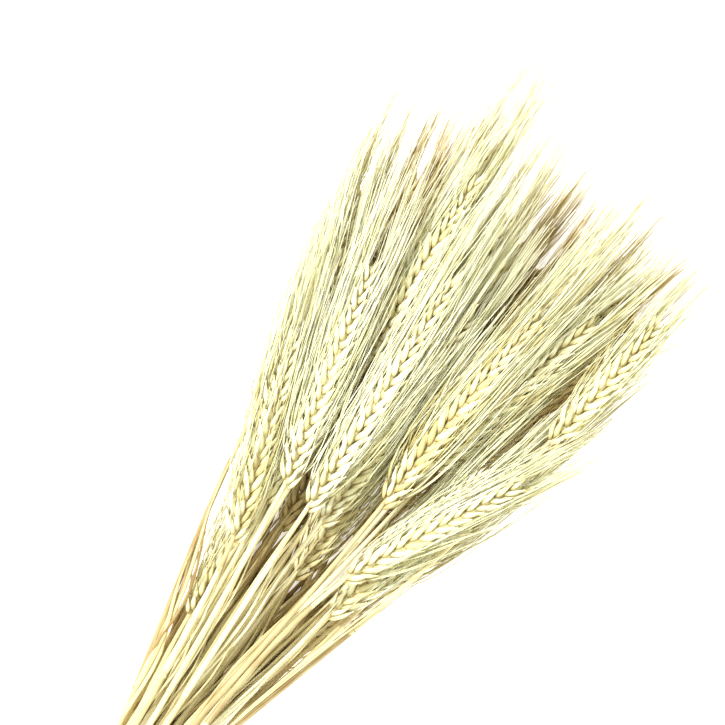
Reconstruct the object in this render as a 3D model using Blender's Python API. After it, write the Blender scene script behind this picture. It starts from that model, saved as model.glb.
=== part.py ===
"""A gathered bunch of bearded wheat, held by a band of raffia and laid on a surface.

Every stalk is one body: a straw that runs on as the axis of its ear, with spikelets in two
ranks, each ending in a long awn. The stalks lie in five rows, one above the other, and fan out
from the band. +X runs from the band toward the ears, +Y is the left of the fan, +Z is up.
"""

import math
import random
from collections import namedtuple

import bmesh
import bpy
import numpy as np
from mathutils import Matrix, Vector

MM = 0.001
SEED = 7

# Straws
CUT_X = -95 * MM  # the square-cut lower ends, behind the band
STRAW_RADIUS = 1.3 * MM
NECK_RADIUS = 0.95 * MM  # just under the ear
AXIS_RADIUS = 1.9 * MM  # in the middle of the ear
AXIS_END = 0.97  # share of the ear's length that its axis reaches
START_TURN = 0.8  # share of its sideways slope that a straw has as it leaves the waist
END_TURN = 0.6  # share of its ear's sideways slope that it has at the ear's foot
STRAW_STEP = 36 * MM  # between two points of a straw
WAIST_WIDTHS = (22 * MM, 26 * MM, 28 * MM, 25 * MM, 19 * MM)  # between the outermost straws of each row
CUT_SPREAD = 0.3  # how much further apart the cut ends are than the waist
WAIST_HALF = 10 * MM  # the straws run straight this far on both sides of the waist

# Rows, counted from the surface up
WAIST_ROW_GAP = 3.3 * MM
EAR_ROW_GAP = 10.6 * MM
FAN_OUT = 135 * MM  # from the waist to where the rows reach their full distance
EAR_REST = 4.6 * MM  # height of the lowest ears' axes above the surface
CUT_END_REST = 0.15 * MM  # space under the lowest cut ends

# Band
BAND_THICKNESS = 1.1 * MM
BAND_WIDTH = 9 * MM
BAND_SIDES = 24
CLEAR = 0.33 * MM  # between pieces that touch
WELD = 0.001 * MM

# Ears
SPIKELETS = (13, 13, 15, 16, 16)  # on an ear of each row, fewer where they are hidden
SPIKELET_LENGTH = 15 * MM
SPIKELET_HALF_WIDTH = 2.5 * MM
SPIKELET_HALF_DEPTH = 3.9 * MM
INNER_SIDE = -0.45  # where a spikelet's inner side lies, in half widths from its middle
WIDEST_AT = 0.42  # share of its length where a spikelet is widest
ROOT_SUNK = 1.2 * MM  # how far its root goes into the ear's axis
FIRST_AT, LAST_AT = 0.01, 0.88  # places of the first and last spikelet along the ear
FOOT_SIZE, TIP_SIZE = 0.74, 0.66  # of the spikelets at the ends of an ear, next to those in its middle
FULL_FROM, FULL_TO = 0.3, 0.55  # the stretch of full-size spikelets
SPLAY = (math.radians(25), math.radians(13))  # from the axis, at the foot and the tip of an ear
TWIST = math.radians(6)  # every other pair leans up, the rest down

# Awns
AWN_RADIUS = 0.42 * MM
AWN_LENGTH = (68 * MM, 52 * MM)  # at the foot and the tip of an ear
AWN_LENGTHS_VARY = (0.85, 1.1)
AWN_SPREAD = math.radians(10)  # of the widest awns from their ear's axis
AWN_SPREADS_VARY = (0.35, 1.0)
AWN_LIFT = 0.25  # how much an awn rises or drops for its sideways spread
TURNS_IN = (1.0, 0.7, 0.4, 0.1, -0.2)  # shares of its spread tried until an awn clears its neighbours
SHORTER = (1.0, 0.8, 0.6)  # shares of its length tried with each of them
AWN_RISE = 4.3 * MM  # furthest above or below the ear's axis
AWN_GAP = 0.5 * MM  # from anything of another stalk
SHORTEST_AWN = 9 * MM
GAP_SAMPLES = 24  # places along an awn where its gap is measured

STRAW_COLOUR = (0.80, 0.72, 0.42)
RAFFIA_COLOUR = (0.72, 0.58, 0.34)

# An ear's foot and tip as (x, y) in mm, its roll in degrees, and the share of the full awn length
Ear = namedtuple("Ear", "foot tip roll awns", defaults=(1.0,))
Stalk = namedtuple("Stalk", "row waist_y ear")
Spikelet = namedtuple("Spikelet", "base tip side lean along size")
Segment = namedtuple("Segment", "stalk start end radius")

# The ears seen from above, left to right in each row
TOP_ROW = [
    Ear((122.5, 24.5), (207, 54), 35),
    Ear((153, 20.5), (249, 45), 8),
    Ear((151, 7.5), (265, 14.5), 0),
    Ear((170, -16.5), (273, -23.5), -8),
    Ear((137, -22), (210, -57.5), 15, 0.75),
]
SECOND_ROW = [
    Ear((143, 23.5), (248, 59.5), 12),
    Ear((216, 22.5), (303, 30), -14, 0.4),
    Ear((149, -0.5), (258, -0.5), 18),
    Ear((196, -26), (283, -44), -15, 0.7),
    Ear((120, -26), (205, -42), -12, 0.7),
    Ear((229, -57), (297, -65), 10, 0.35),
]
THIRD_ROW = [
    Ear((182, 50), (271, 66.5), 0, 0.95),
    Ear((83, 20.5), (176, 34.5), 22),
    Ear((228, 30), (314, 33.5), -10, 0.95),
    Ear((206, 4.5), (299, 11), 5, 0.75),
    Ear((124, -5), (206, -7.5), 15),
    Ear((201, -21), (308, -26), 0, 0.65),
    Ear((213, -36), (297, -46), -10, 0.4),
    Ear((140, -37), (230, -60), 18, 0.8),
]

# The two rows next to the surface: straight lanes that fan out evenly, as slope and middle of the ear
UPPER_LANES = ((0.3, 190), (0.2, 248), (0.1, 190), (0.0, 248), (-0.12, 248))
LOWER_LANES = ((0.25, 190), (0.15, 248), (0.05, 190), (-0.05, 248), (-0.15, 190), (-0.22, 248))
LANES_MEET_X = 30  # in mm, as all the ears' places are
MIDDLE_VARIES = 6
ROLL_VARIES = 15
EAR_LENGTHS = (92, 102)
LANE_AWNS = (0.9, 0.6)  # of the ears nearer to the band and further from it
FAR_MIDDLE = 220
SHORT_EAR = Ear((80, -16.5), (150, -37), 10, 0.75)  # right of the upper lanes


def smooth(t):
    """Eased step from 0 to 1."""
    t = min(max(t, 0.0), 1.0)
    return t * t * (3 - 2 * t)


def mix(a, b, t):
    return a + (b - a) * t


def height(row, x):
    """Height of a row's middle above the surface."""
    waist = BAND_THICKNESS + CLEAR + STRAW_RADIUS
    if x < 0:
        lowest = mix(STRAW_RADIUS + CUT_END_REST, waist, smooth((x - CUT_X) / (-WAIST_HALF - CUT_X)))
    else:
        lowest = mix(waist, EAR_REST, smooth((x - WAIST_HALF) / FAN_OUT))
    return lowest + row * mix(WAIST_ROW_GAP, EAR_ROW_GAP, smooth((x - WAIST_HALF) / FAN_OUT))


def lane_ears(lanes, rng):
    """Ears of a hidden row, left to right."""
    ears = []
    for slope, middle_x in lanes:
        middle_x += rng.uniform(-MIDDLE_VARIES, MIDDLE_VARIES)
        middle = Vector((middle_x, slope * (middle_x - LANES_MEET_X)))
        half = Vector((1, slope)).normalized() * rng.uniform(*EAR_LENGTHS) / 2
        roll = rng.uniform(-ROLL_VARIES, ROLL_VARIES)
        awns = LANE_AWNS[middle_x > FAR_MIDDLE]
        ears.append(Ear(tuple(middle - half), tuple(middle + half), roll, awns))
    return ears


def all_stalks(rng):
    upper_lanes = lane_ears(UPPER_LANES, rng)
    lower_lanes = lane_ears(LOWER_LANES, rng)
    rows = {4: TOP_ROW, 3: SECOND_ROW, 2: THIRD_ROW, 1: upper_lanes + [SHORT_EAR], 0: lower_lanes}
    stalks = []
    for row, ears in rows.items():
        for i, ear in enumerate(ears):
            waist_y = WAIST_WIDTHS[row] * (0.5 - i / (len(ears) - 1))
            stalks.append(Stalk(row, waist_y, ear))
    return stalks


def straw_y(stalk, x):
    """Sideways place of a straw: straight through the band, then a curve that meets the ear's line."""
    if x <= WAIST_HALF:
        return stalk.waist_y * (1 + CUT_SPREAD * smooth((x + WAIST_HALF) / (CUT_X + WAIST_HALF)))
    foot = Vector(stalk.ear.foot) * MM
    tip = Vector(stalk.ear.tip) * MM
    run = foot.x - WAIST_HALF
    rise = foot.y - stalk.waist_y
    end_rise = run * (tip.y - foot.y) / (tip.x - foot.x)
    t = (x - WAIST_HALF) / run
    return (
        (2 * t**3 - 3 * t**2 + 1) * stalk.waist_y
        + (t**3 - 2 * t**2 + t) * START_TURN * rise
        + (3 * t**2 - 2 * t**3) * foot.y
        + (t**3 - t**2) * END_TURN * end_rise
    )


def ear_ends(stalk):
    """Foot and tip of an ear's axis."""
    return [Vector((x * MM, y * MM, height(stalk.row, x * MM))) for x, y in (stalk.ear.foot, stalk.ear.tip)]


def ear_frame(stalk):
    """Unit vectors of an ear: along its axis, across its two ranks, and out of its face."""
    foot, tip = ear_ends(stalk)
    along = (tip - foot).normalized()
    sideways = Vector((0, 0, 1)).cross(along).normalized()
    across = Matrix.Rotation(math.radians(stalk.ear.roll), 3, along) @ sideways
    return along, across, along.cross(across)


def straw_points(stalk):
    """Centre points and radii of a straw and the axis of its ear."""
    foot, tip = ear_ends(stalk)
    steps = max(2, round(foot.x / STRAW_STEP))
    places = [CUT_X, -WAIST_HALF, WAIST_HALF]
    places += [mix(WAIST_HALF, foot.x, i / steps) for i in range(1, steps + 1)]
    points = [Vector((x, straw_y(stalk, x), height(stalk.row, x))) for x in places]
    radii = [mix(STRAW_RADIUS, NECK_RADIUS, smooth(p.x / foot.x)) for p in points]
    points += [foot.lerp(tip, 0.5), foot.lerp(tip, AXIS_END)]
    radii += [AXIS_RADIUS, NECK_RADIUS]
    return points, radii


def spikelets_of(stalk):
    """Spikelets left and right by turns, smaller toward both ends of the ear."""
    foot, tip = ear_ends(stalk)
    along, across, out = ear_frame(stalk)
    found = []
    count = SPIKELETS[stalk.row]
    for i in range(count):
        t = i / (count - 1)
        side = 1 if i % 2 else -1
        lean = 1 if (i // 2) % 2 else -1
        shrink = mix(1, TIP_SIZE, smooth((t - FULL_TO) / (1 - FULL_TO)))
        size = mix(FOOT_SIZE, 1, smooth(t / FULL_FROM)) * shrink
        splay = mix(SPLAY[0], SPLAY[1], t)
        direction = along * math.cos(splay) + across * side * math.sin(splay)
        direction = (direction + out * lean * math.sin(TWIST)).normalized()
        base = foot.lerp(tip, mix(FIRST_AT, LAST_AT, t))
        found.append(Spikelet(base, base + direction * SPIKELET_LENGTH * size, side, lean, t, size))
    return found


def gap_between(start, end, radius, others):
    """Least gap between one tapering segment and a list of others."""
    if not others:
        return math.inf
    samples = np.array([start.lerp(end, i / GAP_SAMPLES) for i in range(GAP_SAMPLES + 1)])
    a = np.array([o.start for o in others])
    b = np.array([o.end for o in others])
    reach = np.array([o.radius for o in others])
    line = b - a
    offset = samples[:, None, :] - a[None, :, :]
    t = np.clip((offset * line).sum(-1) / (line * line).sum(-1), 0, 1)
    distance = np.linalg.norm(offset - t[..., None] * line, axis=-1)
    return float((distance - reach).min()) - radius


def awn_tip(stalk, spikelet, others, rng):
    """Tip of a spikelet's awn, turned in toward its own ear until it clears the other stalks."""
    along, across, out = ear_frame(stalk)
    length = mix(*AWN_LENGTH, spikelet.along) * stalk.ear.awns * rng.uniform(*AWN_LENGTHS_VARY)
    spread = AWN_SPREAD * rng.uniform(*AWN_SPREADS_VARY)
    for turn_in in TURNS_IN:
        for shorten in SHORTER:
            sideways = spikelet.side * math.tan(spread) * turn_in
            upward = spikelet.lean * math.tan(spread) * AWN_LIFT * turn_in
            tip = spikelet.tip + (along + across * sideways + out * upward).normalized() * length * shorten
            level = height(stalk.row, tip.x)
            tip.z = min(max(tip.z, level - AWN_RISE), level + AWN_RISE)
            if gap_between(spikelet.tip, tip, AWN_RADIUS, others) > AWN_GAP:
                return tip
    return spikelet.tip + along * SHORTEST_AWN


def fixed_segments(index, stalk, spikelets):
    """What a stalk holds besides its awns, as thick segments."""
    points, radii = straw_points(stalk)
    segments = [Segment(index, a, b, max(radii)) for a, b in zip(points, points[1:])]
    segments += [Segment(index, s.base, s.tip, SPIKELET_HALF_WIDTH * s.size) for s in spikelets]
    return segments


def new_object(name, mesh, collection):
    obj = bpy.data.objects.new(name, mesh)
    collection.objects.link(obj)
    return obj


def straw_object(name, stalk, collection):
    """Straw and ear axis as a bevelled curve, made a mesh so that it can be joined."""
    points, radii = straw_points(stalk)
    curve = bpy.data.curves.new(name + "_path", "CURVE")
    curve.dimensions = "3D"
    curve.bevel_depth = STRAW_RADIUS
    curve.bevel_resolution = 0
    curve.use_fill_caps = True
    spline = curve.splines.new("POLY")
    spline.points.add(len(points) - 1)
    for target, point, radius in zip(spline.points, points, radii):
        target.co = (*point, 1.0)
        target.radius = radius / STRAW_RADIUS
    path = new_object(name + "_path", curve, collection)
    bpy.context.view_layer.update()
    evaluated = path.evaluated_get(bpy.context.evaluated_depsgraph_get())
    mesh = bpy.data.meshes.new_from_object(evaluated)
    mesh.name = name
    bpy.data.objects.remove(path)
    weld(mesh)
    return new_object(name, mesh, collection)


def weld(mesh):
    bm = bmesh.new()
    bm.from_mesh(mesh)
    bmesh.ops.remove_doubles(bm, verts=bm.verts, dist=WELD)
    bm.to_mesh(mesh)
    bm.free()


def spikelet_mesh(stalk, spikelet, awn_end):
    """A three-sided scale with its keel outward: it swells, narrows to its awn and runs out fine."""
    along, across, out = ear_frame(stalk)
    direction = (spikelet.tip - spikelet.base).normalized()
    wide = out.cross(direction).normalized()
    deep = direction.cross(wide)
    sections = (
        (spikelet.base.lerp(spikelet.tip, WIDEST_AT), SPIKELET_HALF_WIDTH * spikelet.size,
         SPIKELET_HALF_DEPTH * spikelet.size),
        (spikelet.tip, AWN_RADIUS, AWN_RADIUS),
    )
    inner = INNER_SIDE * spikelet.side
    corners = ((spikelet.side, 0), (inner, 1), (inner, -1))
    bm = bmesh.new()
    base = bm.verts.new(spikelet.base - direction * ROOT_SUNK)
    rings = [
        [bm.verts.new(centre + wide * w * x + deep * d * y) for x, y in corners]
        for centre, w, d in sections
    ]
    end = bm.verts.new(awn_end)
    for i in range(3):
        j = (i + 1) % 3
        bm.faces.new((base, rings[0][j], rings[0][i]))
        bm.faces.new((rings[0][i], rings[0][j], rings[1][j], rings[1][i]))
        bm.faces.new((rings[1][i], rings[1][j], end))
    bmesh.ops.recalc_face_normals(bm, faces=bm.faces)
    mesh = bpy.data.meshes.new("spikelet")
    bm.to_mesh(mesh)
    bm.free()
    return mesh


def press_flat(mesh):
    """Cuts off what would reach below the surface, which leaves small flat spots to rest on."""
    bm = bmesh.new()
    bm.from_mesh(mesh)
    everything = bm.verts[:] + bm.edges[:] + bm.faces[:]
    down = (0, 0, -1)
    cut = bmesh.ops.bisect_plane(bm, geom=everything, plane_co=(0, 0, 0), plane_no=down, clear_outer=True)
    rim = [g for g in cut["geom_cut"] if isinstance(g, bmesh.types.BMEdge)]
    if rim:
        bmesh.ops.edgeloop_fill(bm, edges=rim)
    bm.to_mesh(mesh)
    bm.free()


def stalk_object(name, stalk, spikelets, awn_ends, collection, material):
    """One stalk: its spikelets are joined to the straw by one union."""
    straw = straw_object(name, stalk, collection)
    repeats = bpy.data.collections.new(name + "_spikelets")
    bpy.context.scene.collection.children.link(repeats)
    for spikelet, awn_end in zip(spikelets, awn_ends):
        new_object("spikelet", spikelet_mesh(stalk, spikelet, awn_end), repeats)
    union = straw.modifiers.new("join", "BOOLEAN")
    union.operation = "UNION"
    union.operand_type = "COLLECTION"
    union.collection = repeats
    union.solver = "EXACT"
    bpy.context.view_layer.update()
    joined = bpy.data.meshes.new_from_object(straw.evaluated_get(bpy.context.evaluated_depsgraph_get()))
    straw.modifiers.clear()
    straw.data = joined
    joined.name = name
    for piece in list(repeats.objects):
        bpy.data.objects.remove(piece)
    bpy.data.collections.remove(repeats)
    if stalk.row == 0:
        press_flat(joined)
    joined.materials.clear()
    joined.materials.append(material)
    return straw


def outline_round(centres, offset):
    """Outline with flat sides that runs round all centres at a distance, anticlockwise."""
    directions = [2 * math.pi * i / BAND_SIDES - math.pi / 2 for i in range(BAND_SIDES)]
    normals = [Vector((math.cos(a), math.sin(a))) for a in directions]
    reaches = [max(c.dot(n) for c in centres) + offset for n in normals]
    corners = []
    for i in range(BAND_SIDES):
        n, m = normals[i], normals[(i + 1) % BAND_SIDES]
        r, s = reaches[i], reaches[(i + 1) % BAND_SIDES]
        turn = n.x * m.y - n.y * m.x
        corners.append(Vector(((r * m.y - s * n.y) / turn, (s * n.x - r * m.x) / turn)))
    return corners


def band_object(stalks, collection, material):
    """Flat band round the waist, its underside flat on the surface."""
    edges = (-BAND_WIDTH / 2, 0, BAND_WIDTH / 2)
    centres = [Vector((straw_y(s, x), height(s.row, x))) for s in stalks for x in edges]
    curve = bpy.data.curves.new("raffia_band", "CURVE")
    curve.dimensions = "2D"
    curve.fill_mode = "BOTH"
    curve.extrude = BAND_WIDTH / 2
    inner = STRAW_RADIUS + CLEAR
    for offset in (inner + BAND_THICKNESS, inner):
        spline = curve.splines.new("POLY")
        corners = outline_round(centres, offset)
        spline.points.add(len(corners) - 1)
        for target, corner in zip(spline.points, corners):
            target.co = (corner.x, corner.y, 0.0, 1.0)
        spline.use_cyclic_u = True
    curve.materials.append(material)
    band = new_object("raffia_band", curve, collection)
    band.matrix_world = Matrix(((0, 0, 1, 0), (1, 0, 0, 0), (0, 1, 0, 0), (0, 0, 0, 1)))
    return band


def plain_material(name, colour, roughness):
    material = bpy.data.materials.new(name)
    material.use_nodes = True
    shader = material.node_tree.nodes["Principled BSDF"]
    shader.inputs["Base Color"].default_value = (*colour, 1.0)
    shader.inputs["Roughness"].default_value = roughness
    shader.inputs["Metallic"].default_value = 0.0
    return material


def centre_on_origin(objects):
    """Carries everything by one empty, so that the origin is below the middle of the whole."""
    bpy.context.view_layer.update()
    corners = [obj.matrix_world @ Vector(c) for obj in objects for c in obj.bound_box]
    middle = [(min(c[k] for c in corners) + max(c[k] for c in corners)) / 2 for k in (0, 1)]
    holder = bpy.data.objects.new("bunch_centre", None)
    bpy.context.scene.collection.objects.link(holder)
    for obj in objects:
        obj.parent = holder
    holder.location = (-middle[0], -middle[1], 0)
    bpy.context.view_layer.update()


def main():
    for obj in list(bpy.data.objects):
        bpy.data.objects.remove(obj)
    bunch = bpy.data.collections.new("wheat_bunch")
    bpy.context.scene.collection.children.link(bunch)
    rng = random.Random(SEED)
    stalks = all_stalks(rng)
    spikelets = [spikelets_of(s) for s in stalks]
    placed = {row: [] for row in range(5)}
    for i, stalk in enumerate(stalks):
        placed[stalk.row] += fixed_segments(i, stalk, spikelets[i])
    objects = []
    for i, stalk in enumerate(stalks):
        awn_ends = []
        for spikelet in spikelets[i]:
            others = [p for p in placed[stalk.row] if p.stalk != i]
            awn_ends.append(awn_tip(stalk, spikelet, others, rng))
        placed[stalk.row] += [Segment(i, s.tip, e, AWN_RADIUS) for s, e in zip(spikelets[i], awn_ends)]
        name = f"wheat_stalk_{i + 1:02d}"
        tone = rng.uniform(0.88, 1.08)
        material = plain_material(name, [min(1.0, c * tone) for c in STRAW_COLOUR], 0.6)
        objects.append(stalk_object(name, stalk, spikelets[i], awn_ends, bunch, material))
    objects.append(band_object(stalks, bunch, plain_material("raffia_band", RAFFIA_COLOUR, 0.7)))
    centre_on_origin(objects)


main()
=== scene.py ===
"""Looks of a bunch of bearded wheat that lies on a pale floor, seen from straight above.

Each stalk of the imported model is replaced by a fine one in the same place: a round straw with
its knots, dry sheaths and rolled leaves, and an ear of pointed husks in two ranks, with glumes
beside them and fine awns that draw together in tufts. The raffia band is replaced by wound
strands. +X runs from the band to the ears, +Y is the left of the fan, +Z is up.
"""

import math
import random
from collections import namedtuple

import bpy
import numpy as np
from mathutils import Matrix, Vector


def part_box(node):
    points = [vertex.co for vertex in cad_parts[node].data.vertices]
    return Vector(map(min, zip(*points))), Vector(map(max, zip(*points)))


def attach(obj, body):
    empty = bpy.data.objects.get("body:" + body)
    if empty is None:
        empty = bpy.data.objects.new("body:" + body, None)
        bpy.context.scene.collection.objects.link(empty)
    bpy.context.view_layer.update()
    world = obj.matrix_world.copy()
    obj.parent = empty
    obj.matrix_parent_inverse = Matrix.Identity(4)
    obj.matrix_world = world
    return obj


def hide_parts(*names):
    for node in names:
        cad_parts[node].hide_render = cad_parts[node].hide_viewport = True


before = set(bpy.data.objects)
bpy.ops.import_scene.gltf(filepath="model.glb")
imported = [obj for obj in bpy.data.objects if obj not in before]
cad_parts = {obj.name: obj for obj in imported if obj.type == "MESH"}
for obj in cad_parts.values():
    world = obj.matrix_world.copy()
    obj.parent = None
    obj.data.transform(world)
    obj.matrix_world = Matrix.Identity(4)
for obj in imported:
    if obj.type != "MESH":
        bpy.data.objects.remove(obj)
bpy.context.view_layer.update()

MM = 0.001
CM_A_METRE = 100
SEED = 23

# Straws and rows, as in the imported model
CUT_X = -95 * MM  # the square-cut lower ends, behind the band
WAIST_HALF = 10 * MM  # the straws run straight this far on both sides of the waist
STRAW_RADIUS = 1.3 * MM
NECK_RADIUS = 0.95 * MM  # just under the ear
AXIS_RADIUS = 1.9 * MM  # in the middle of the ear
START_TURN = 0.8  # share of its sideways slope that a straw has as it leaves the waist
END_TURN = 0.6  # share of its ear's sideways slope that it has at the ear's foot
WAIST_WIDTHS = (22 * MM, 26 * MM, 28 * MM, 25 * MM, 19 * MM)  # between the outermost straws of each row
CUT_SPREAD = 0.3  # how much further apart the cut ends are than the waist
WAIST_ROW_GAP = 3.3 * MM
EAR_ROW_GAP = 10.6 * MM
FAN_OUT = 135 * MM  # from the waist to where the rows reach their full distance
EAR_REST = 4.6 * MM  # height of the lowest ears' axes above the surface
CUT_END_REST = 0.15 * MM  # space under the lowest cut ends
BAND_THICKNESS = 1.1 * MM
BAND_WIDTH = 9 * MM
CLEAR = 0.33 * MM  # space left between pieces that lie against each other
LAYOUT_SEED = 7
TOP = 4  # rows are counted from the lowest, 0
# From LIKE_TOP up, a row's colours have no painted shade
LIKE_TOP = 3  # from this row up, a row looks as the top row does

Ear = namedtuple("Ear", "foot tip roll awns", defaults=(1.0,))
Stalk = namedtuple("Stalk", "name row waist_y ear")
Axes = namedtuple("Axes", "along across out sideways")
Tuft = namedtuple("Tuft", "slope length")
Node = namedtuple("Node", "root place side size")  # place runs from 0 at an ear's foot to 1 at its tip

# The ears seen from above, left to right in each row: foot and tip in mm from the band, roll in degrees
TOP_ROW = [
    Ear((122.5, 24.5), (207, 54), 35),
    Ear((153, 20.5), (249, 45), 8),
    Ear((151, 7.5), (265, 14.5), 0),
    Ear((170, -16.5), (273, -23.5), -8),
    Ear((137, -22), (210, -57.5), 15, 0.75),
]
SECOND_ROW = [
    Ear((143, 23.5), (248, 59.5), 12),
    Ear((216, 22.5), (303, 30), -14, 0.4),
    Ear((149, -0.5), (258, -0.5), 18),
    Ear((196, -26), (283, -44), -15, 0.7),
    Ear((120, -26), (205, -42), -12, 0.7),
    Ear((229, -57), (297, -65), 10, 0.35),
]
THIRD_ROW = [
    Ear((182, 50), (271, 66.5), 0, 0.95),
    Ear((83, 20.5), (176, 34.5), 22),
    Ear((228, 30), (314, 33.5), -10, 0.95),
    Ear((206, 4.5), (299, 11), 5, 0.75),
    Ear((124, -5), (206, -7.5), 15),
    Ear((201, -21), (308, -26), 0, 0.65),
    Ear((213, -36), (297, -46), -10, 0.4),
    Ear((140, -37), (230, -60), 18, 0.8),
]

# The two rows next to the surface: straight lanes that fan out evenly, as slope and middle of the ear
UPPER_LANES = ((0.3, 190), (0.2, 248), (0.1, 190), (0.0, 248), (-0.12, 248))
LOWER_LANES = ((0.25, 190), (0.15, 248), (0.05, 190), (-0.05, 248), (-0.15, 190), (-0.22, 248))
LANES_MEET_X = 30  # in mm, as all the ears' places are
MIDDLE_VARIES = 6
ROLL_VARIES = 15
EAR_LENGTHS = (92, 102)
LANE_AWNS = (0.9, 0.6)  # of the ears nearer to the band and further from it
FAR_MIDDLE = 220
SHORT_EAR = Ear((80, -16.5), (150, -37), 10, 0.75)  # right of the upper lanes

# Husks. A pair is for the foot and the tip of an ear, apart from those that say how far a draw varies
NODE_STEP = 3.45 * MM
LAST_NODE = 0.925  # share of the ear's length
HUSK_LENGTH = 11.4 * MM
HUSK_HALF_WIDTH = 1.42 * MM
HUSK_HALF_DEPTH = 1.2 * MM
HUSK_BELLY = 0.55 * MM  # how far its middle bows out
HUSK_SIDES = 7
HUSK_RINGS = 8
HUSK_SKEW = 0.65  # below 1, a husk is widest nearer to its foot
HUSK_ENDS = (0.7, 1.25)  # of its foot and its tip: below 1 blunt, above 1 drawn out
HUSK_FOOT = 0.4  # share of its width that its foot has
HUSKS_VARY = (0.88, 1.12)
END_SIZES = (0.82, 0.74)  # next to the husks in the ear's middle
FULL_FROM, FULL_TO = 0.2, 0.55  # the stretch of full-size husks
SPLAY = (26, 18)  # degrees from the ear's axis
SPLAY_VARIES = 5
FACE_SPLAY = -6  # degrees more for the husks on the two faces
LEAN = 10  # degrees out of the ear's plane, of the husks on the two faces
LEAN_VARIES = 3
FACE_TURN = 0.45  # how far such a husk faces aside
UPPER, LOWER, EDGE = 1, -1, 0  # the three husks of a node
FACE_ASIDE = 0.35 * MM
FACE_OUT = 1.2 * MM
EDGE_ASIDE = 1.6 * MM
EDGE_BACK = 1.2 * MM
GLUME_SIZE = 0.8  # next to a husk's
GLUME_FLARE = 8  # degrees that it stands further aside
GLUME_ASIDE, GLUME_OUT, GLUME_BACK = 1.1 * MM, 0.35 * MM, 1.6 * MM  # from its husk
GLUMES_VARY = (0.9, 1.1)
EAR_BEND = 1.3 * MM  # how far an ear's middle may bow aside
EAR_REACH = 3.0 * MM  # husks and awns stand freely up to here above and below the ear's axis
EAR_LIMIT = 4.6 * MM  # and none stands further off than this

# Awns, with pairs as above
AWN_RADIUS = 0.33 * MM
AWN_TIP = 0.5  # share of that radius at the tip
AWN_RADII_VARY = (0.75, 1.1)
AWN_SIDES = 3
AWN_POINTS = 9
AWN_LENGTH = (70 * MM, 54 * MM)
AWN_LENGTHS_VARY = (0.8, 1.08)
AWN_REGROWN = 0.35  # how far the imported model's shortened awns grow back to full length
AWN_SPREAD = (11, 5.5)  # most degrees aside
FACE_SPREADS = (-0.7, 0.9, 0)  # lowest, highest and likeliest share of it on an ear's faces
EDGE_INWARD = -2  # lowest spread at an ear's edges, in degrees
EDGE_LIKELIEST = 0.35
AWN_END_RISE = (-3.9 * MM, 3.0 * MM)  # of an awn's end, from the height of its row
FACE_END_RISE = 1.6 * MM  # most that it is further out for its face
START_HANDLE, END_HANDLE = 0.26, 0.38  # shares of the length over which an awn leaves its husk and runs out
END_TURNS = (0.1, 0.9)  # share of its slope that it runs out with
AWN_LIFT = 3 * MM  # how far an awn of the upper face is led over the husks ahead of it
STRAIGHTER = 0.75  # how much more such an awn starts along the ear
EXTRA_AWNS = 4
EXTRA_STARTS = (0.6, 0.95)  # from a node to its husk's tip
EXTRA_ASIDE = 2.2 * MM
STRAYS = 0.04  # share of the awns that curl away at their ends
STRAY_CURL = (3 * MM, 9 * MM)
TUFTS = 5  # on each side of an ear, that its awns draw together in
TUFT_SPREAD = 11  # degrees
TUFT_LENGTHS = (0.86, 1.1)
DRAWN = 0.5  # how far each awn leans to its tuft

# Straws, knots and sheaths
STRAW_SIDES = 10
STRAW_STEPS = 16  # from the band to the ear
CUT_END_BEND = -50 * MM  # a point on the way from the band to the cut end
AXIS_PLACES = (0.5, 0.96)  # shares of the ear's length
AXIS_TIP = 0.7  # share of the neck's radius
KNOTS = ((-80 * MM, -35 * MM), (25 * MM, 60 * MM))
SHEATH_WIDE = 1.42 * MM
SHEATH_DEEP = 1.36 * MM
SHEATH_LENGTHS = (60 * MM, 110 * MM)
SHEATH_CLEAR = 12 * MM  # of the ear's foot
KNOT_SHAPE = ((-1.2, 0.05), (-0.4, 0.8), (0.4, 0.8), (1.4, 0.5))  # mm from the knot, share of full thickness
SHEATH_SHAPE = (0.9,) + (1.0,) * 7 + (0.8, 0.05)  # the same shares from there to its end

# Dry leaves rolled into thin tubes. A pair is for the lowest row and the upper ones, or how far a draw varies
# The lower rows have many more leaves; with those rows' painted shade they darken the gaps between the straws
LEAVES = (18, 14, 9, 4, 4)  # on each straw of a row
LEAF_HALF_WIDTHS = (0.45 * MM, 0.9 * MM)
LEAF_BREADTH = (2.3, 0.8)
LEAF_FLATNESS = (0.45, 0.8)
LEAF_SHAPE = ((0, 0.15, 0.6, 1), (0.5, 1, 0.9, 0.12))  # shares of its length and width
LEAF_STARTS = (16 * MM, 50 * MM)
LEAF_LENGTHS = (70 * MM, 125 * MM)
LEAF_PAST_FOOT = 25 * MM  # of the ear
LEAF_NEAREST = 1.2 * MM
LEAF_FARTHEST = (11 * MM, 4 * MM)
LEAF_PARTS, LEAF_RISES = 1.8, 3  # how fast it goes aside, and up or down, from its straw
LEAF_RETURNS = 0.85  # how far it comes back beside its straw
LEAF_WAVE = 0.6 * MM
LEAF_WAVE_TURN = 9  # radians in its whole length
LEAF_SIDES = 7
LEAF_POINTS = 12
OUTER_WAIST_Y = 9 * MM  # leaves of straws further out than this lie inward
LEAF_LIFT = 0.48  # share of the gap between rows that it may rise or drop
LOWEST_LEAF_LIFT = -0.05  # of the lowest row, next to the floor
HIGHEST_LEAF_LIFT = -0.1  # of the top row, which covers its leaves

# Strands of the band
STRANDS = 6
STRAND_HALF = 0.52  # half width as a share of their spacing, so that they touch
STRAND_SIDES = 10
STRAND_POINTS = 48
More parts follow.
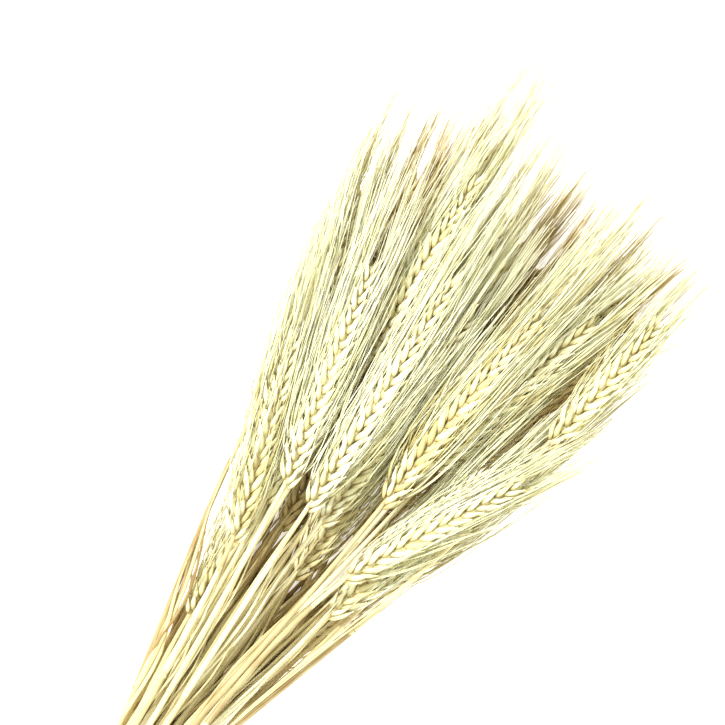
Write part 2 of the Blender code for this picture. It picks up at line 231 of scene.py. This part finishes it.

# Colours from dark to light, for the lowest rows and for the topmost. The lower rows' darker, browner colours
# are painted shade, deep in the bunch
LOW_ROW_PAINTED_SHADE = ((0.24, 0.13, 0.03), (0.50, 0.32, 0.10), (0.72, 0.56, 0.23))
HUSK_SHADES = (LOW_ROW_PAINTED_SHADE, ((0.58, 0.50, 0.22), (0.82, 0.81, 0.51), (0.88, 0.88, 0.67)))
AWN_SHADES = (LOW_ROW_PAINTED_SHADE, ((0.56, 0.48, 0.19), (0.86, 0.87, 0.57), (0.93, 0.94, 0.77)))
STRAW_SHADES = (
    ((0.20, 0.11, 0.03), (0.46, 0.32, 0.11), (0.68, 0.55, 0.25)),
    ((0.33, 0.21, 0.08), (0.74, 0.68, 0.39), (0.90, 0.88, 0.65)),
)
# Painted shade at the feet of husks and awns, in the crevices under their neighbours; it fades out over
# HUSK_ROOT_FADE and AWN_ROOT_FADE
HUSK_ROOT_PAINTED_SHADE = ((0.20, 0.13, 0.04), (0.46, 0.36, 0.14))
AWN_ROOT_PAINTED_SHADE = ((0.14, 0.08, 0.02), (0.30, 0.20, 0.06))
AWN_ENDS = ((0.76, 0.72, 0.46), (0.93, 0.92, 0.72))
RAFFIA_SHADES = ((0.36, 0.26, 0.12), (0.55, 0.42, 0.22), (0.70, 0.58, 0.35))
HUSK_ROOT_FADE = (0.0, 0.35)  # in cm from the husk's foot
AWN_ROOT_FADE = (0, 0.3)
AWN_END_FADE = (2.5, 6.5)
# Painted shade of the lower rows: the lowest row has this share of the topmost row's colours, and the rows
# between follow the curve
LOWEST_ROW_LIT_SHARE = 0.2  # share of the topmost row's colours that the lowest row has
PAINTED_SHADE_CURVE = 1.2

# Tones: where they are darkest and lightest, and what they are made up of
DARK_AT, LIGHT_AT = 0.28, 0.78
TONE_BASE = 0.2
STALK_SHARE = 0.14
FIBRE_SHARE = 0.3
BLOTCH_SHARE = 0.26
FIBRE_STRETCH = (0.9, 16, 1)  # across, a fibre is narrow
FIBRE_DETAIL = 3.0
BLOTCH_SCALE = 55.0
BLOTCH_DETAIL = 2.0
SHEEN_LEVEL = 0.25
BUMP_STRENGTH = 0.4
BUMP_DISTANCE = 0.2 * MM

# The UV's v counts lofts: each has a lane of its own for its tone, and each stalk a thousand of them
LANES_A_STALK = 1000
LANE_START, LANE_SPAN = 0.05, 0.9  # what a loft covers of its lane
HUSK, AWN, STRAW, SHEATH = range(4)  # material slots of a stalk

# Camera: the photo's frame is 725 pixels, and a pixel is 0.41 mm at the ears
PHOTO_SIDE = 725 * 0.41 * MM
PHOTO_RIGHT = Vector((0.588, -0.809, 0)).normalized()
PHOTO_MIDDLE = Vector((211.4 * MM, 24.1 * MM, 35 * MM))  # from the band, at the height of the upper ears
LENS = 135
SENSOR = 36

# Studio
FLOOR_HALF = 4.0
FLOOR_COLOUR = (0.9, 0.9, 0.89, 1)
FLOOR_ROUGHNESS = 0.9
FLOOR_GLOW = 0.62
KEY_TOWARD = (-0.48, 0.38, 0.87)  # in the photo's right, up and out directions
KEY_STRENGTH = 3.5
KEY_ANGLE = 6
WORLD_COLOUR = (1, 0.96, 0.82, 1)
WORLD_STRENGTH = 1.3


def smooth(t):
    t = np.clip(t, 0.0, 1.0)
    return t * t * (3 - 2 * t)


def mix(a, b, t):
    return a + (b - a) * t


def height(row, x):
    """Height of a row's middle above the floor, at one place or at an array of them."""
    waist = BAND_THICKNESS + CLEAR + STRAW_RADIUS
    behind = mix(STRAW_RADIUS + CUT_END_REST, waist, smooth((x - CUT_X) / (-WAIST_HALF - CUT_X)))
    fanned = smooth((x - WAIST_HALF) / FAN_OUT)
    lowest = np.where(x < 0, behind, mix(waist, EAR_REST, fanned))
    return lowest + row * mix(WAIST_ROW_GAP, EAR_ROW_GAP, fanned)


def lane_ears(lanes, rng):
    """Ears of a hidden row, left to right."""
    ears = []
    for slope, middle_x in lanes:
        middle_x += rng.uniform(-MIDDLE_VARIES, MIDDLE_VARIES)
        middle = Vector((middle_x, slope * (middle_x - LANES_MEET_X)))
        half = Vector((1, slope)).normalized() * rng.uniform(*EAR_LENGTHS) / 2
        roll = rng.uniform(-ROLL_VARIES, ROLL_VARIES)
        awns = LANE_AWNS[middle_x > FAR_MIDDLE]
        ears.append(Ear(tuple(middle - half), tuple(middle + half), roll, awns))
    return ears


def all_stalks():
    """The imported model's stalks, with the same draws as there."""
    rng = random.Random(LAYOUT_SEED)
    upper_lanes = lane_ears(UPPER_LANES, rng)
    lower_lanes = lane_ears(LOWER_LANES, rng)
    rows = {4: TOP_ROW, 3: SECOND_ROW, 2: THIRD_ROW, 1: upper_lanes + [SHORT_EAR], 0: lower_lanes}
    stalks = []
    for row, ears in rows.items():
        for i, ear in enumerate(ears):
            waist_y = WAIST_WIDTHS[row] * (0.5 - i / (len(ears) - 1))
            stalks.append(Stalk(f"wheat_stalk_{len(stalks) + 1:02d}", row, waist_y, ear))
    return stalks


def straw_y(stalk, x):
    """Where a straw lies sideways: straight at the waist, and a smooth curve from there to its ear."""
    if x <= WAIST_HALF:
        return stalk.waist_y * (1 + CUT_SPREAD * smooth((x + WAIST_HALF) / (CUT_X + WAIST_HALF)))
    foot = Vector(stalk.ear.foot) * MM
    tip = Vector(stalk.ear.tip) * MM
    run = foot.x - WAIST_HALF
    rise = foot.y - stalk.waist_y
    end_rise = run * (tip.y - foot.y) / (tip.x - foot.x)
    t = (x - WAIST_HALF) / run
    return (
        (2 * t**3 - 3 * t**2 + 1) * stalk.waist_y
        + (t**3 - 2 * t**2 + t) * START_TURN * rise
        + (3 * t**2 - 2 * t**3) * foot.y
        + (t**3 - t**2) * END_TURN * end_rise
    )


def straw_point(stalk, x):
    return (x, straw_y(stalk, x), height(stalk.row, x))


def straw_radius(stalk, x):
    return mix(STRAW_RADIUS, NECK_RADIUS, smooth(x / (stalk.ear.foot[0] * MM)))


def ear_ends(stalk):
    return [Vector((x * MM, y * MM, height(stalk.row, x * MM))) for x, y in (stalk.ear.foot, stalk.ear.tip)]


def ear_axes(stalk):
    """Along the ear, across its two ranks, out of its upper face, and level sideways."""
    foot, tip = ear_ends(stalk)
    along = (tip - foot).normalized()
    sideways = Vector((0, 0, 1)).cross(along).normalized()
    across = Matrix.Rotation(math.radians(stalk.ear.roll), 3, along) @ sideways
    return Axes(along, across, along.cross(across), sideways)


class Lofts:
    """Collects closed lofts into one mesh, with a UV whose u is in cm along and whose v counts lofts."""

    def __init__(self, first_lane):
        self.verts = []
        self.faces = []
        self.uvs = []
        self.slots = []
        self.lane = first_lane
        self.size = 0

    def loft(self, centres, wide, deep, sides, slot):
        """A closed skin round centres; wide and deep are the half axes at each of them."""
        rings = len(centres)
        angle = np.arange(sides) * 2 * math.pi / sides
        to_side = np.cos(angle)[None, :, None] * wide[:, None, :]
        to_face = np.sin(angle)[None, :, None] * deep[:, None, :]
        points = (centres[:, None, :] + (to_side + to_face)).reshape(-1, 3)
        self.verts.append(np.vstack([points, centres[0], centres[-1]]))
        step = np.linalg.norm(np.diff(centres, axis=0), axis=1)
        along = np.concatenate([[0], np.cumsum(step)]) * CM_A_METRE
        edges = [self.lane + LANE_START + LANE_SPAN * j / sides for j in range(sides + 1)]
        first = self.size
        for i in range(rings - 1):
            ring = first + i * sides
            for j in range(sides):
                k = (j + 1) % sides
                self.faces.append((ring + j, ring + k, ring + sides + k, ring + sides + j))
                self.uvs += [along[i], edges[j], along[i], edges[j + 1]]
                self.uvs += [along[i + 1], edges[j + 1], along[i + 1], edges[j]]
        last = first + (rings - 1) * sides
        first_cap = first + rings * sides
        last_cap = first_cap + 1
        for j in range(sides):
            k = (j + 1) % sides
            self.faces.append((first + k, first + j, first_cap))
            self.uvs += [along[0], edges[j + 1], along[0], edges[j], along[0], edges[j]]
            self.faces.append((last + j, last + k, last_cap))
            self.uvs += [along[-1], edges[j], along[-1], edges[j + 1], along[-1], edges[j]]
        self.slots += [slot] * ((rings + 1) * sides)
        self.size += rings * sides + 2
        self.lane += 1

    def tube(self, points, radii, sides, slot, flatten=1.0):
        """A loft round a path, with its broad side level."""
        points = np.asarray(points, float)
        radii = np.asarray(radii, float)[:, None]
        tangent = np.gradient(points, axis=0)
        tangent /= np.linalg.norm(tangent, axis=1)[:, None]
        wide = np.cross([0.0, 0.0, 1.0], tangent)
        wide /= np.linalg.norm(wide, axis=1)[:, None]
        deep = np.cross(tangent, wide)
        self.loft(points, wide * radii, deep * radii * flatten, sides, slot)

    def bow(self, foot, axes, length, bend, since):
        """Bends an ear aside, from one loft on: a parabola to its tip, and half its last slope beyond."""
        for points in self.verts[since:]:
            t = (points - np.array(foot)) @ np.array(axes.along) / length
            inside = np.clip(t, 0, 1)
            aside = bend * (4 * inside * (1 - inside) - 2 * np.maximum(t - 1, 0))
            points += aside[:, None] * np.array(axes.sideways)

    def press(self, row, since):
        """Draws in what stands far above or below the row's own height, from one loft on."""
        room = EAR_LIMIT - EAR_REACH
        for points in self.verts[since:]:
            middle = height(row, points[:, 0])
            off = points[:, 2] - middle
            past = np.maximum(np.abs(off) - EAR_REACH, 0)
            drawn = np.minimum(np.abs(off), EAR_REACH) + room * (1 - np.exp(-past / room))
            points[:, 2] = middle + np.sign(off) * drawn

    def finish(self, name, materials, node):
        """Makes the mesh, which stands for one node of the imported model."""
        mesh = bpy.data.meshes.new(name)
        mesh.from_pydata(np.vstack(self.verts).tolist(), [], self.faces)
        for material in materials:
            mesh.materials.append(material)
        mesh.polygons.foreach_set("material_index", self.slots)
        mesh.uv_layers.new(name="UVMap").data.foreach_set("uv", self.uvs)
        mesh.shade_smooth()
        obj = bpy.data.objects.new(name, mesh)
        bpy.context.scene.collection.objects.link(obj)
        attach(obj, "root")
        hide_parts(node)
        return obj


def bezier(p0, p1, p2, p3, count):
    t = np.linspace(0, 1, count)[:, None]
    p0, p1, p2, p3 = (np.array(p) for p in (p0, p1, p2, p3))
    return p0 * (1 - t) ** 3 + 3 * p1 * t * (1 - t) ** 2 + 3 * p2 * t**2 * (1 - t) + p3 * t**3


def husk(lofts, base, direction, face, size):
    """A slim pointed husk that bellies away from the ear; returns its tip."""
    length = HUSK_LENGTH * size
    t = np.linspace(0, 1, HUSK_RINGS)
    swell = np.sin(math.pi * t**HUSK_SKEW).clip(0, 1) ** mix(*HUSK_ENDS, t)
    swell = np.maximum(swell, mix(HUSK_FOOT, AWN_RADIUS / HUSK_HALF_WIDTH, t))
    wide_axis = face.cross(direction).normalized()
    deep_axis = direction.cross(wide_axis)
    belly = np.sin(math.pi * t) * HUSK_BELLY * size
    centres = np.array(base) + t[:, None] * np.array(direction) * length
    centres += belly[:, None] * np.array(deep_axis)
    wide = swell[:, None] * np.array(wide_axis) * HUSK_HALF_WIDTH * size
    deep = swell[:, None] * np.array(deep_axis) * HUSK_HALF_DEPTH * size
    lofts.loft(centres, wide, deep, HUSK_SIDES, HUSK)
    return base + direction * length


def awn(lofts, stalk, start, direction, node, level, axes, tufts, rng):
    """A fine awn that leaves a husk's tip and turns to run with the ear."""
    regrown = mix(stalk.ear.awns, 1, AWN_REGROWN)
    length = mix(*AWN_LENGTH, node.place) * regrown * rng.uniform(*AWN_LENGTHS_VARY)
    widest = mix(*AWN_SPREAD, smooth(node.place))
    if level == EDGE:
        spread = rng.triangular(EDGE_INWARD, widest, widest * EDGE_LIKELIEST)
    else:
        spread = rng.triangular(*(share * widest for share in FACE_SPREADS))
    slope = node.side * math.tan(math.radians(spread))
    tuft = min(tufts, key=lambda one: abs(one.slope - slope))
    slope = mix(slope, tuft.slope, DRAWN)
    length *= tuft.length
    end = start + axes.along * length + axes.sideways * slope * length
    end.z = height(stalk.row, end.x) + rng.uniform(*AWN_END_RISE) + level * rng.uniform(0, FACE_END_RISE)
    end_handle = (axes.along + axes.sideways * slope * rng.uniform(*END_TURNS)) * length * END_HANDLE
    end_handle.z = 0
    if rng.random() < STRAYS:
        end += axes.sideways * node.side * rng.uniform(*STRAY_CURL)
    if level == UPPER:
        start_handle = direction.lerp(axes.along, STRAIGHTER) * length * START_HANDLE + axes.out * AWN_LIFT
    else:
        start_handle = direction * length * START_HANDLE
    points = bezier(start, start + start_handle, end - end_handle, end, AWN_POINTS)
    radii = AWN_RADIUS * np.linspace(1.0, AWN_TIP, AWN_POINTS) * rng.uniform(*AWN_RADII_VARY)
    lofts.tube(points, radii, AWN_SIDES, AWN)


def node_husks(lofts, stalk, node, axes, tufts, rng):
    """A node's three husks with their awns, a glume beside the upper one, and more awns between them."""
    aside = axes.across * node.side
    for level in (UPPER, LOWER, EDGE):
        splay = mix(*SPLAY, node.place) + rng.uniform(-SPLAY_VARIES, SPLAY_VARIES) + FACE_SPLAY * abs(level)
        splay = math.radians(splay)
        lean = math.radians(LEAN + rng.uniform(-LEAN_VARIES, LEAN_VARIES)) * level
        direction = axes.along * math.cos(splay) + aside * math.sin(splay) + axes.out * math.sin(lean)
        direction.normalize()
        if level == EDGE:
            base = node.root + aside * EDGE_ASIDE * node.size - axes.along * EDGE_BACK
            face = aside
        else:
            base = node.root + aside * FACE_ASIDE * node.size + axes.out * level * FACE_OUT * node.size
            face = (axes.out * level + aside * FACE_TURN).normalized()
        tip = husk(lofts, base, direction, face, node.size * rng.uniform(*HUSKS_VARY))
        if level == UPPER:
            flared = Matrix.Rotation(node.side * math.radians(GLUME_FLARE), 3, axes.out) @ direction
            beside = base + aside * GLUME_ASIDE + axes.out * GLUME_OUT - axes.along * GLUME_BACK
            husk(lofts, beside, flared, face, node.size * GLUME_SIZE * rng.uniform(*GLUMES_VARY))
        awn(lofts, stalk, tip, direction, node, level, axes, tufts, rng)
    # These start inside the edge husk, which comes last above
    for i in range(EXTRA_AWNS):
        start = node.root.lerp(tip, rng.uniform(*EXTRA_STARTS))
        start += axes.out * rng.uniform(-EXTRA_ASIDE, EXTRA_ASIDE)
        level = rng.choice((EDGE, UPPER, UPPER, LOWER))
        awn(lofts, stalk, start, direction, node, level, axes, tufts, rng)


def ear(lofts, stalk, rng):
    foot, tip = ear_ends(stalk)
    axes = ear_axes(stalk)
    first_loft = len(lofts.verts)
    tufts = []
    for i in range(2 * TUFTS):
        slope = math.tan(math.radians(rng.uniform(-TUFT_SPREAD, TUFT_SPREAD)))
        tufts.append(Tuft(slope, rng.uniform(*TUFT_LENGTHS)))
    nodes = round((tip - foot).length / NODE_STEP)
    for i in range(nodes):
        place = i / (nodes - 1)
        size = mix(END_SIZES[0], 1.0, smooth(place / FULL_FROM))
        size *= mix(1.0, END_SIZES[1], smooth((place - FULL_TO) / (1 - FULL_TO)))
        node = Node(foot.lerp(tip, LAST_NODE * place), place, 1 if i % 2 else -1, size)
        node_husks(lofts, stalk, node, axes, tufts, rng)
    lofts.bow(foot, axes, (tip - foot).length, rng.uniform(-EAR_BEND, EAR_BEND), first_loft)
    lofts.press(stalk.row, first_loft)


def straw(lofts, stalk, rng):
    """A round straw that runs on as its ear's axis, and the dry sheath that wraps it above each knot."""
    foot, tip = ear_ends(stalk)
    knots = [rng.uniform(*stretch) for stretch in KNOTS]
    places = [CUT_X, CUT_END_BEND, -WAIST_HALF, 0, WAIST_HALF]
    places += [mix(WAIST_HALF, foot.x, i / STRAW_STEPS) for i in range(1, STRAW_STEPS + 1)]
    points = [straw_point(stalk, x) for x in places] + [tuple(foot.lerp(tip, share)) for share in AXIS_PLACES]
    radii = [straw_radius(stalk, x) for x in places] + [AXIS_RADIUS, NECK_RADIUS * AXIS_TIP]
    lofts.tube(points, radii, STRAW_SIDES, STRAW)
    for knot in knots:
        length = min(rng.uniform(*SHEATH_LENGTHS), foot.x - knot - SHEATH_CLEAR)
        places = [knot + off * MM for off, share in KNOT_SHAPE]
        places += [knot + length * (i + 1) / len(SHEATH_SHAPE) for i in range(len(SHEATH_SHAPE))]
        shares = [share for off, share in KNOT_SHAPE] + list(SHEATH_SHAPE)
        spare = SHEATH_WIDE - STRAW_RADIUS
        points = [straw_point(stalk, x) for x in places]
        radii = [straw_radius(stalk, x) + spare * share for x, share in zip(places, shares)]
        lofts.tube(points, radii, STRAW_SIDES, SHEATH, SHEATH_DEEP / SHEATH_WIDE)


def leaf(lofts, stalk, rng):
    """A dry leaf rolled into a thin tube, which leaves its straw a little and lies between the rows."""
    foot_x = stalk.ear.foot[0] * MM
    upper = smooth(stalk.row / LIKE_TOP)
    start = rng.uniform(*LEAF_STARTS)
    length = min(rng.uniform(*LEAF_LENGTHS), foot_x + LEAF_PAST_FOOT - start)
    aside = rng.uniform(LEAF_NEAREST, mix(*LEAF_FARTHEST, upper)) * rng.choice((-1, 1))
    if abs(stalk.waist_y) > OUTER_WAIST_Y:
        aside = -math.copysign(aside, stalk.waist_y)
    lowest = LOWEST_LEAF_LIFT if stalk.row == 0 else -LEAF_LIFT
    highest = HIGHEST_LEAF_LIFT if stalk.row == TOP else LEAF_LIFT
    lift = rng.uniform(lowest, highest)
    shares = np.linspace(0, 1, LEAF_POINTS)
    points = []
    for share in shares:
        x = start + length * share
        gap = height(1, x) - height(0, x)
        off = aside * smooth(share * LEAF_PARTS) * (1 - LEAF_RETURNS * smooth(2 * share - 1))
        y = straw_y(stalk, min(x, foot_x)) + off + LEAF_WAVE * math.sin(LEAF_WAVE_TURN * share)
        points.append((x, y, height(stalk.row, x) + lift * gap * smooth(share * LEAF_RISES)))
    half_width = rng.uniform(*LEAF_HALF_WIDTHS) * mix(*LEAF_BREADTH, upper)
    radii = half_width * np.interp(shares, *LEAF_SHAPE)
    lofts.tube(points, radii, LEAF_SIDES, SHEATH, rng.uniform(*LEAF_FLATNESS))


def add_math(tree, operation, first, second):
    node = tree.nodes.new("ShaderNodeMath")
    node.operation = operation
    for socket, value in zip(node.inputs, (first, second)):
        if isinstance(value, (int, float)):
            socket.default_value = value
        else:
            tree.links.new(value, socket)
    return node.outputs[0]


def random_tone(tree, number):
    """A random value from 0 to 1 for each whole part of a number."""
    tone = tree.nodes.new("ShaderNodeTexWhiteNoise")
    tone.noise_dimensions = "1D"
    tree.links.new(add_math(tree, "FLOOR", number, 0), tone.inputs["W"])
    return tone.outputs["Value"]


def soft_noise(tree, vector, scale, detail):
    noise = tree.nodes.new("ShaderNodeTexNoise")
    noise.inputs["Scale"].default_value = scale
    noise.inputs["Detail"].default_value = detail
    tree.links.new(vector, noise.inputs["Vector"])
    return noise.outputs["Fac"]


def fade(tree, along, stretch, first, second):
    """Fades from one colour to the other over a stretch in cm along a piece; either may be a socket."""
    reach = tree.nodes.new("ShaderNodeMapRange")
    reach.inputs["From Min"].default_value = stretch[0]
    reach.inputs["From Max"].default_value = stretch[1]
    tree.links.new(along, reach.inputs["Value"])
    blend = tree.nodes.new("ShaderNodeMix")
    blend.data_type = "RGBA"
    tree.links.new(reach.outputs["Result"], blend.inputs["Factor"])
    for socket, colour in ((blend.inputs["A"], first), (blend.inputs["B"], second)):
        if isinstance(colour, tuple):
            socket.default_value = (*colour, 1)
        else:
            tree.links.new(colour, socket)
    return blend.outputs["Result"]


def wheat_material(name, shades, roughness, variety, root=None, end=None):
    """Straw skin. Its shades run from dark to light; root and end are a stretch in cm and the colour there,
    and root is used for painted shade at the foot.

    variety is how far one husk, awn or straw differs from the next.
    """
    material = bpy.data.materials.new(name)
    material.use_nodes = True
    tree = material.node_tree
    shader = tree.nodes["Principled BSDF"]
    shader.inputs["Roughness"].default_value = roughness
    shader.inputs["Specular IOR Level"].default_value = SHEEN_LEVEL
    uv = tree.nodes.new("ShaderNodeUVMap")
    uv.uv_map = "UVMap"
    parts = tree.nodes.new("ShaderNodeSeparateXYZ")
    tree.links.new(uv.outputs["UV"], parts.inputs[0])
    along = parts.outputs["X"]
    lane = parts.outputs["Y"]

    # A tone for each husk, awn and straw, and a fainter one for each stalk
    own_tone = add_math(tree, "SUBTRACT", random_tone(tree, lane), 0.5)
    stalk_tone = random_tone(tree, add_math(tree, "DIVIDE", lane, LANES_A_STALK))

    # Fibres that run along it, and blotches across the whole bunch
    stretch = tree.nodes.new("ShaderNodeMapping")
    stretch.inputs["Scale"].default_value = FIBRE_STRETCH
    tree.links.new(uv.outputs["UV"], stretch.inputs["Vector"])
    fibre = soft_noise(tree, stretch.outputs["Vector"], 1.0, FIBRE_DETAIL)
    position = tree.nodes.new("ShaderNodeTexCoord").outputs["Object"]
    blotch = soft_noise(tree, position, BLOTCH_SCALE, BLOTCH_DETAIL)

    level = add_math(tree, "ADD", add_math(tree, "MULTIPLY", own_tone, variety), TONE_BASE)
    for value, share in ((stalk_tone, STALK_SHARE), (fibre, FIBRE_SHARE), (blotch, BLOTCH_SHARE)):
        level = add_math(tree, "ADD", level, add_math(tree, "MULTIPLY", value, share))
    ramp = tree.nodes.new("ShaderNodeValToRGB")
    spots = ramp.color_ramp.elements
    spots[0].position = DARK_AT
    spots[0].color = (*shades[0], 1)
    spots[1].position = LIGHT_AT
    spots[1].color = (*shades[-1], 1)
    for i in range(1, len(shades) - 1):
        spots.new(mix(DARK_AT, LIGHT_AT, i / (len(shades) - 1))).color = (*shades[i], 1)
    tree.links.new(level, ramp.inputs["Fac"])
    colour = ramp.outputs["Color"]
    # Painted shade at the foot
    if root:
        colour = fade(tree, along, root[0], root[1], colour)
    if end:
        colour = fade(tree, along, end[0], colour, end[1])
    tree.links.new(colour, shader.inputs["Base Color"])

    bump = tree.nodes.new("ShaderNodeBump")
    bump.inputs["Strength"].default_value = BUMP_STRENGTH
    bump.inputs["Distance"].default_value = BUMP_DISTANCE
    tree.links.new(fibre, bump.inputs["Height"])
    tree.links.new(bump.outputs["Normal"], shader.inputs["Normal"])
    return material


def row_skins(row):
    """Materials of a row's husks, awns, straws and sheaths, in the order of their slots; the lower the row,
    the darker its copies, which is painted shade.
    """
    # Painted shade: the lower the row, the more of the lowest row's dark colours
    lit_share = mix(LOWEST_ROW_LIT_SHARE, 1.0, smooth(row / LIKE_TOP) ** PAINTED_SHADE_CURVE)

    def between(low, top):
        return tuple(mix(a, b, lit_share) for a, b in zip(low, top))

    husk_shades, awn_shades, straw_shades = (
        [between(*pair) for pair in zip(*shades)] for shades in (HUSK_SHADES, AWN_SHADES, STRAW_SHADES)
    )
    # Painted shade at the feet of husks and awns
    husk_root_shade = (HUSK_ROOT_FADE, between(*HUSK_ROOT_PAINTED_SHADE))
    awn_root_shade = (AWN_ROOT_FADE, between(*AWN_ROOT_PAINTED_SHADE))
    awn_end = (AWN_END_FADE, between(*AWN_ENDS))
    return [
        wheat_material(f"husk_row_{row}", husk_shades, roughness=0.55, variety=0.34, root=husk_root_shade),
        wheat_material(
            f"awn_row_{row}", awn_shades, roughness=0.45, variety=0.44, root=awn_root_shade, end=awn_end
        ),
        wheat_material(f"straw_row_{row}", straw_shades, roughness=0.4, variety=0.16),
        wheat_material(f"sheath_row_{row}", straw_shades, roughness=0.5, variety=0.36),
    ]


def outline_round(centres, offset, sides):
    """Outline that runs round all centres at a distance."""
    angles = [2 * math.pi * i / sides - math.pi / 2 for i in range(sides)]
    normals = [Vector((math.cos(angle), math.sin(angle))) for angle in angles]
    reaches = [max(centre.dot(normal) for centre in centres) + offset for normal in normals]
    corners = []
    for i in range(sides):
        following = (i + 1) % sides
        n = normals[i]
        m = normals[following]
        turn = n.x * m.y - n.y * m.x
        y = (reaches[i] * m.y - reaches[following] * n.y) / turn
        z = (reaches[following] * n.x - reaches[i] * m.x) / turn
        corners.append((y, z))
    return corners


def band(stalks, material):
    """Strands of raffia wound side by side round the waist."""
    centres = [Vector((straw_y(stalk, 0), height(stalk.row, 0))) for stalk in stalks]
    corners = outline_round(centres, STRAW_RADIUS + CLEAR + BAND_THICKNESS / 2, STRAND_POINTS)
    spacing = BAND_WIDTH / STRANDS
    lofts = Lofts(0)
    for i in range(STRANDS):
        middle = (i - (STRANDS - 1) / 2) * spacing
        loop = [(middle, y, z) for y, z in corners]
        loop.append(loop[0])
        points = np.array(loop)
        tangent = np.roll(points[:-1], -1, axis=0) - np.roll(points[:-1], 1, axis=0)
        tangent = np.vstack([tangent, tangent[:1]])
        tangent /= np.linalg.norm(tangent, axis=1)[:, None]
        wide = np.tile([spacing * STRAND_HALF, 0, 0], (len(points), 1))
        deep = np.cross([1, 0, 0], tangent) * BAND_THICKNESS / 2
        lofts.loft(points, wide, deep, STRAND_SIDES, 0)
    return lofts.finish("raffia_strands", [material], "raffia_band")


def carry(objects, band_box):
    """Moves the pieces from the band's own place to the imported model's, and returns how far."""
    low, high = band_box
    shift = Vector(((low.x + high.x) / 2, (low.y + high.y) / 2, 0))
    for obj in objects:
        obj.data.transform(Matrix.Translation(shift))
    return shift


def floor():
    mesh = bpy.data.meshes.new("floor")
    corners = [(x * FLOOR_HALF, y * FLOOR_HALF, 0) for x, y in ((-1, -1), (1, -1), (1, 1), (-1, 1))]
    mesh.from_pydata(corners, [], [(0, 1, 2, 3)])
    material = bpy.data.materials.new("floor")
    material.use_nodes = True
    shader = material.node_tree.nodes["Principled BSDF"]
    shader.inputs["Base Color"].default_value = FLOOR_COLOUR
    shader.inputs["Roughness"].default_value = FLOOR_ROUGHNESS
    shader.inputs["Emission Color"].default_value = (1, 1, 1, 1)
    shader.inputs["Emission Strength"].default_value = FLOOR_GLOW
    mesh.materials.append(material)
    obj = bpy.data.objects.new("floor", mesh)
    bpy.context.scene.collection.objects.link(obj)


def camera(shift):
    """Straight above the middle of the photo's frame, turned as the photo is."""
    data = bpy.data.cameras.new("camera")
    data.lens = LENS
    data.sensor_width = SENSOR
    obj = bpy.data.objects.new("camera", data)
    bpy.context.scene.collection.objects.link(obj)
    back = Vector((0, 0, 1))
    up = back.cross(PHOTO_RIGHT)
    distance = PHOTO_SIDE * LENS / SENSOR
    turn = Matrix((PHOTO_RIGHT, up, back)).transposed().to_4x4()
    obj.matrix_world = Matrix.Translation(PHOTO_MIDDLE + shift + back * distance) @ turn
    bpy.context.scene.camera = obj


def light():
    """A soft sun toward KEY_TOWARD, and an even warm sky."""
    data = bpy.data.lights.new("key", "SUN")
    data.energy = KEY_STRENGTH
    data.angle = math.radians(KEY_ANGLE)
    obj = bpy.data.objects.new("key", data)
    bpy.context.scene.collection.objects.link(obj)
    out = Vector((0, 0, 1))
    right_share, up_share, out_share = KEY_TOWARD
    toward = PHOTO_RIGHT * right_share + out.cross(PHOTO_RIGHT) * up_share + out * out_share
    obj.rotation_mode = "QUATERNION"
    obj.rotation_quaternion = toward.to_track_quat("Z", "Y")
    world = bpy.data.worlds.new("studio")
    world.use_nodes = True
    world.node_tree.nodes["Background"].inputs["Color"].default_value = WORLD_COLOUR
    world.node_tree.nodes["Background"].inputs["Strength"].default_value = WORLD_STRENGTH
    bpy.context.scene.world = world
    bpy.context.scene.view_settings.view_transform = "Standard"


# No camera or light but those made here
for old in [obj for obj in bpy.data.objects if obj.type in {"CAMERA", "LIGHT"}]:
    bpy.data.objects.remove(old)

# The bunch, then what it is seen with
raffia_skin = wheat_material("raffia", RAFFIA_SHADES, roughness=0.7, variety=0.4)
# Each row has its own copies of the materials, darker on the lower rows: painted shade
skins = [row_skins(row) for row in range(TOP + 1)]
stalks = all_stalks()
pieces = []
for number, stalk in enumerate(stalks):
    rng = random.Random(SEED + number)
    lofts = Lofts((number + 1) * LANES_A_STALK)
    straw(lofts, stalk, rng)
    for i in range(LEAVES[stalk.row]):
        leaf(lofts, stalk, rng)
    ear(lofts, stalk, rng)
    pieces.append(lofts.finish(stalk.name + "_fine", skins[stalk.row], stalk.name))
pieces.append(band(stalks, raffia_skin))
shift = carry(pieces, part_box("raffia_band"))
floor()
camera(shift)
light()
